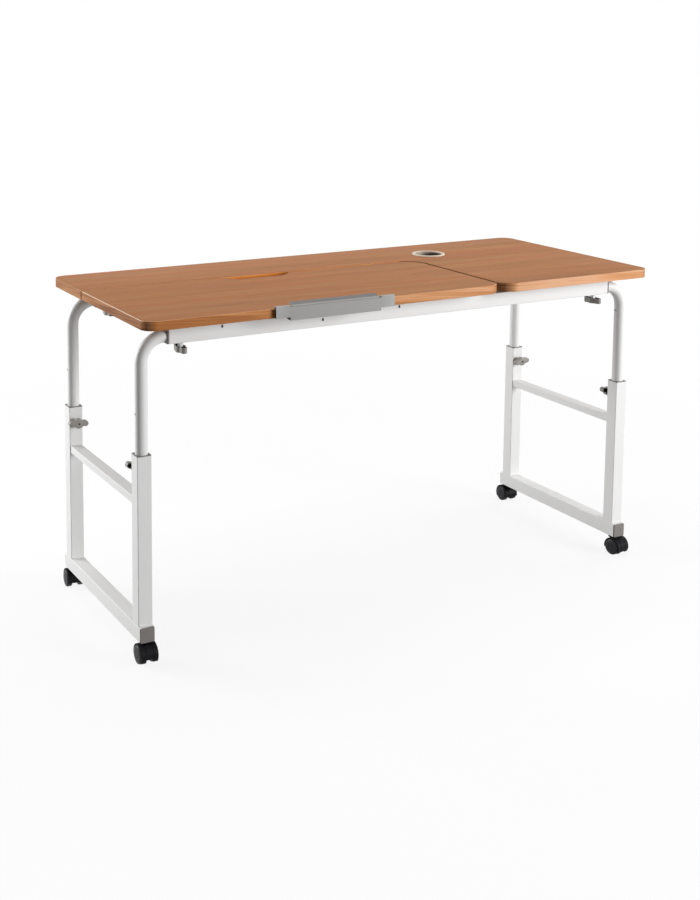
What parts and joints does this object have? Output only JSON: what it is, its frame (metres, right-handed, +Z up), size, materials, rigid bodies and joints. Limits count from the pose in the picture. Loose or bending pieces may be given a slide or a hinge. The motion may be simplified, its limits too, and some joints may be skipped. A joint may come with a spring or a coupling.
{
  "type": "mobile computer desk",
  "caption": "Rolling desk with a two-part wood-pattern top, a tilting panel with a folding book stop, and telescopic white tube legs on caster bases.",
  "frame": {"origin": "on the floor under the middle of the top", "axes": "+X along the desk to the right as seen from the front, +Y to the back, +Z up"},
  "size_m": [1.2043, 0.508, 0.6731],
  "materials": {
    "white_paint": "semi-gloss white powder coat",
    "white_plastic": "white moulded",
    "beech_laminate": "satin beech-pattern laminate",
    "grey_stop": "satin grey",
    "dark_grey_plastic": "dark grey moulded",
    "knob_grey": "silver-grey moulded",
    "black_plastic": "black moulded",
    "ivory_plastic": "ivory moulded",
    "zinc_steel": "zinc plated"
  },
  "bodies": {
    "table_frame": {"fixed_board": "beech_laminate", "grommet_ring": "ivory_plastic", "front_rail": "white_paint", "rear_rail": "white_paint", "cross_bar_left": "white_paint", "cross_bar_middle": "white_paint", "cross_bar_right": "white_paint", "rail_bush_front_left": "dark_grey_plastic", "rail_bush_front_right": "dark_grey_plastic", "rail_bush_rear_left": "dark_grey_plastic", "rail_bush_rear_right": "dark_grey_plastic", "hinge_rail_leaf_left": "zinc_steel", "hinge_rail_leaf_right": "zinc_steel"},
    "tilt_panel": {"tilt_panel_board": "beech_laminate", "hinge_panel_leaf_left": "zinc_steel", "hinge_panel_leaf_right": "zinc_steel", "stop_bracket": "grey_stop"},
    "book_stop": {"book_stop_flap": "grey_stop"},
    "left_legs": {"leg_front_left": "white_paint", "leg_rear_left": "white_paint"},
    "left_base": {"bottom_rail_left": "white_paint", "mid_bar_left": "white_paint", "upright_front_left": "white_paint", "upright_bush_front_left": "dark_grey_plastic", "rail_cap_front_left": "dark_grey_plastic", "upright_rear_left": "white_paint", "upright_bush_rear_left": "dark_grey_plastic", "rail_cap_rear_left": "white_plastic"},
    "height_knob_front_left": {"height_knob_front_left": "knob_grey"},
    "width_knob_front_left": {"width_knob_front_left": "knob_grey"},
    "caster_front_left": {"caster_hood_front_left": "black_plastic"},
    "wheel_front_left_a": {"caster_wheel_front_left_a": "black_plastic"},
    "wheel_front_left_b": {"caster_wheel_front_left_b": "black_plastic"},
    "height_knob_rear_left": {"height_knob_rear_left": "knob_grey"},
    "width_knob_rear_left": {"width_knob_rear_left": "knob_grey"},
    "caster_rear_left": {"caster_hood_rear_left": "black_plastic"},
    "wheel_rear_left_a": {"caster_wheel_rear_left_a": "black_plastic"},
    "wheel_rear_left_b": {"caster_wheel_rear_left_b": "black_plastic"},
    "right_legs": {"leg_front_right": "white_paint", "leg_rear_right": "white_paint"},
    "right_base": {"bottom_rail_right": "white_paint", "mid_bar_right": "white_paint", "upright_front_right": "white_paint", "upright_bush_front_right": "dark_grey_plastic", "rail_cap_front_right": "dark_grey_plastic", "upright_rear_right": "white_paint", "upright_bush_rear_right": "dark_grey_plastic", "rail_cap_rear_right": "white_plastic"},
    "height_knob_front_right": {"height_knob_front_right": "knob_grey"},
    "width_knob_front_right": {"width_knob_front_right": "knob_grey"},
    "caster_front_right": {"caster_hood_front_right": "black_plastic"},
    "wheel_front_right_a": {"caster_wheel_front_right_a": "black_plastic"},
    "wheel_front_right_b": {"caster_wheel_front_right_b": "black_plastic"},
    "height_knob_rear_right": {"height_knob_rear_right": "knob_grey"},
    "width_knob_rear_right": {"width_knob_rear_right": "knob_grey"},
    "caster_rear_right": {"caster_hood_rear_right": "black_plastic"},
    "wheel_rear_right_a": {"caster_wheel_rear_right_a": "black_plastic"},
    "wheel_rear_right_b": {"caster_wheel_rear_right_b": "black_plastic"}
  },
  "joints": [
    {"name": "panel_tilt", "type": "hinge", "parent": "table_frame", "child": "tilt_panel", "pos_m": [0, -0.192, 0.6399], "axis": [1, 0, 0], "range_deg": [0, 45]},
    {"name": "book_stop_fold", "type": "hinge", "parent": "tilt_panel", "child": "book_stop", "pos_m": [-0.20585, -0.2536, 0.6668], "axis": [1, 0, 0], "range_deg": [-25, 65]},
    {"name": "left_width_slide", "type": "slide", "parent": "table_frame", "child": "left_legs", "axis": [-1, 0, 0], "range_m": [0, 0.2]},
    {"name": "left_height_slide", "type": "slide", "parent": "left_legs", "child": "left_base", "axis": [0, 0, 1], "range_m": [-0.18, 0.06]},
    {"name": "height_knob_front_left_turn", "type": "hinge", "parent": "left_base", "child": "height_knob_front_left", "pos_m": [-0.5803, -0.182, 0.36775], "axis": [0, 1, 0], "continuous": true},
    {"name": "width_knob_front_left_turn", "type": "hinge", "parent": "table_frame", "child": "width_knob_front_left", "pos_m": [-0.5, -0.182, 0.6196], "axis": [0, 0, -1], "continuous": true},
    {"name": "caster_front_left_swivel", "type": "hinge", "parent": "left_base", "child": "caster_front_left", "pos_m": [-0.5803, -0.185, 0], "axis": [0, 0, 1], "continuous": true},
    {"name": "wheel_front_left_a_roll", "type": "hinge", "parent": "caster_front_left", "child": "wheel_front_left_a", "pos_m": [-0.5803, -0.197, 0.01785], "axis": [1, 0, 0], "continuous": true},
    {"name": "wheel_front_left_b_roll", "type": "hinge", "parent": "caster_front_left", "child": "wheel_front_left_b", "pos_m": [-0.5803, -0.197, 0.01785], "axis": [1, 0, 0], "continuous": true},
    {"name": "height_knob_rear_left_turn", "type": "hinge", "parent": "left_base", "child": "height_knob_rear_left", "pos_m": [-0.5803, 0.182, 0.36775], "axis": [0, -1, 0], "continuous": true},
    {"name": "width_knob_rear_left_turn", "type": "hinge", "parent": "table_frame", "child": "width_knob_rear_left", "pos_m": [-0.5, 0.182, 0.6196], "axis": [0, 0, -1], "continuous": true},
    {"name": "caster_rear_left_swivel", "type": "hinge", "parent": "left_base", "child": "caster_rear_left", "pos_m": [-0.5803, 0.185, 0], "axis": [0, 0, 1], "continuous": true},
    {"name": "wheel_rear_left_a_roll", "type": "hinge", "parent": "caster_rear_left", "child": "wheel_rear_left_a", "pos_m": [-0.57946, 0.19697, 0.01785], "axis": [-0.9976, 0.0698, 0], "continuous": true},
    {"name": "wheel_rear_left_b_roll", "type": "hinge", "parent": "caster_rear_left", "child": "wheel_rear_left_b", "pos_m": [-0.57946, 0.19697, 0.01785], "axis": [-0.9976, 0.0698, 0], "continuous": true},
    {"name": "right_width_slide", "type": "slide", "parent": "table_frame", "child": "right_legs", "axis": [1, 0, 0], "range_m": [0, 0.2]},
    {"name": "right_height_slide", "type": "slide", "parent": "right_legs", "child": "right_base", "axis": [0, 0, 1], "range_m": [-0.18, 0.06]},
    {"name": "height_knob_front_right_turn", "type": "hinge", "parent": "right_base", "child": "height_knob_front_right", "pos_m": [0.5803, -0.182, 0.36775], "axis": [0, 1, 0], "continuous": true},
    {"name": "width_knob_front_right_turn", "type": "hinge", "parent": "table_frame", "child": "width_knob_front_right", "pos_m": [0.5, -0.182, 0.6196], "axis": [0, 0, -1], "continuous": true},
    {"name": "caster_front_right_swivel", "type": "hinge", "parent": "right_base", "child": "caster_front_right", "pos_m": [0.5803, -0.185, 0], "axis": [0, 0, 1], "continuous": true},
    {"name": "wheel_front_right_a_roll", "type": "hinge", "parent": "caster_front_right", "child": "wheel_front_right_a", "pos_m": [0.58197, -0.19688, 0.01785], "axis": [0.9903, 0.1392, 0], "continuous": true},
    {"name": "wheel_front_right_b_roll", "type": "hinge", "parent": "caster_front_right", "child": "wheel_front_right_b", "pos_m": [0.58197, -0.19688, 0.01785], "axis": [0.9903, 0.1392, 0], "continuous": true},
    {"name": "height_knob_rear_right_turn", "type": "hinge", "parent": "right_base", "child": "height_knob_rear_right", "pos_m": [0.5803, 0.182, 0.36775], "axis": [0, -1, 0], "continuous": true},
    {"name": "width_knob_rear_right_turn", "type": "hinge", "parent": "table_frame", "child": "width_knob_rear_right", "pos_m": [0.5, 0.182, 0.6196], "axis": [0, 0, -1], "continuous": true},
    {"name": "caster_rear_right_swivel", "type": "hinge", "parent": "right_base", "child": "caster_rear_right", "pos_m": [0.5803, 0.185, 0], "axis": [0, 0, 1], "continuous": true},
    {"name": "wheel_rear_right_a_roll", "type": "hinge", "parent": "caster_rear_right", "child": "wheel_rear_right_a", "pos_m": [0.58072, 0.19699, 0.01785], "axis": [-0.9994, 0.0349, 0], "continuous": true},
    {"name": "wheel_rear_right_b_roll", "type": "hinge", "parent": "caster_rear_right", "child": "wheel_rear_right_b", "pos_m": [0.58072, 0.19699, 0.01785], "axis": [-0.9994, 0.0349, 0], "continuous": true}
  ]
}
